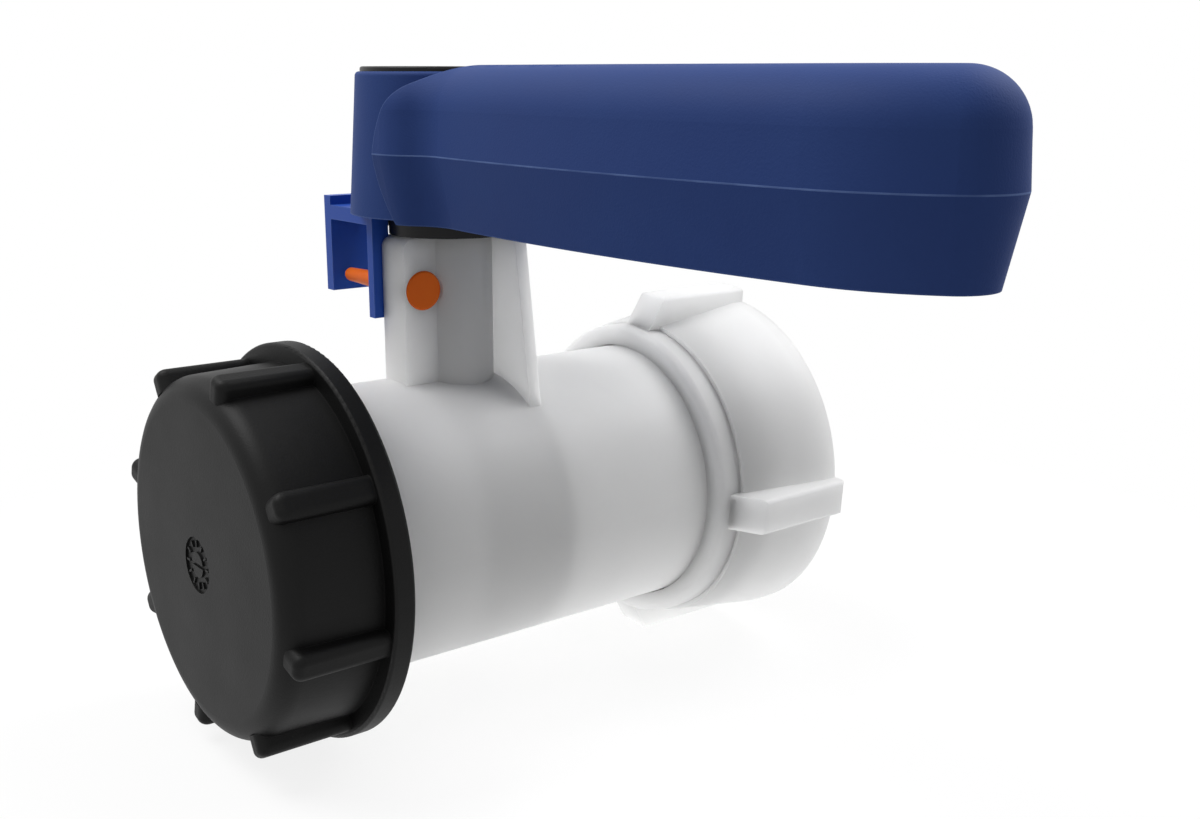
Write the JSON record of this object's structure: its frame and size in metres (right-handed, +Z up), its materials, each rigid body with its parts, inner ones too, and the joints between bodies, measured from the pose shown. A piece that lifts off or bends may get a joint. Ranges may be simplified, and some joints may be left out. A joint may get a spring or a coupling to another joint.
{
  "type": "intermediate bulk container valve",
  "caption": "Outlet valve for a bulk liquid container: pale butterfly body with a swivel union nut, a black screw cap, and a blue quarter-turn lever locked by an orange shear pin",
  "frame": {"origin": "centre of the inlet mouth, on the rear plane of the union nut", "axes": "+Y into the container out of the inlet mouth, -Y toward the outlet cap, +X where the closed lever points, +Z up the stem"},
  "size_m": [0.1641, 0.1259, 0.1242],
  "materials": {
    "natural_hdpe": "natural milky moulded polyethylene, satin",
    "natural_hdpe_nut": "natural milky moulded polyethylene, satin, a little warmer than the body",
    "black_pe": "black moulded polyethylene with a fine satin grain",
    "black_pp": "black moulded polypropylene, satin",
    "black_rubber": "matt moulded rubber",
    "blue_pp": "dark blue moulded polypropylene, finely grained",
    "blue_pe": "blue moulded polyethylene, smoother than the lever",
    "orange_pp": "orange moulded polypropylene, semi gloss",
    "steel": "plain stainless steel"
  },
  "bodies": {
    "pipe": {"valve_body": "natural_hdpe", "nut_retaining_ring": "natural_hdpe", "inlet_gasket": "black_rubber", "seat_liner": "black_rubber", "pivot_pin": "black_pp", "pivot_o_ring": "black_rubber", "seal_pin_head": "orange_pp"},
    "nut": {"union_nut": "natural_hdpe_nut"},
    "cap_seal": {"outlet_gasket": "black_rubber"},
    "cap": {"outlet_cap": "black_pe"},
    "lever_train": {"lever": "blue_pp", "lock_bracket": "blue_pe", "seal_pin_tip": "orange_pp", "stem": "black_pp", "stem_o_rings": "black_rubber", "butterfly_disc": "natural_hdpe", "disc_pin": "steel", "lever_screw": "steel", "screw_washer": "steel", "hub_plug": "black_pp"}
  },
  "joints": [
    {"name": "lever_turn", "type": "hinge", "parent": "pipe", "child": "lever_train", "pos_m": [0, -0.0717, 0], "axis": [0, 0, 1], "range_deg": [-90, 0]},
    {"name": "nut_turn", "type": "hinge", "parent": "pipe", "child": "nut", "pos_m": [0, -0.015, 0], "axis": [0, 1, 0], "continuous": true},
    {"name": "cap_advance", "type": "slide", "parent": "pipe", "child": "cap_seal", "axis": [0, -1, 0], "range_m": [0, 0.0151]},
    {"name": "cap_turn", "type": "hinge", "parent": "cap_seal", "child": "cap", "pos_m": [0, -0.115, 0], "axis": [0, -1, 0], "range_deg": [0, 900]}
  ],
  "couplings": [
    {"joint": "cap_advance", "follows": "cap_turn", "m_per_rad": 0.00095493}
  ]
}
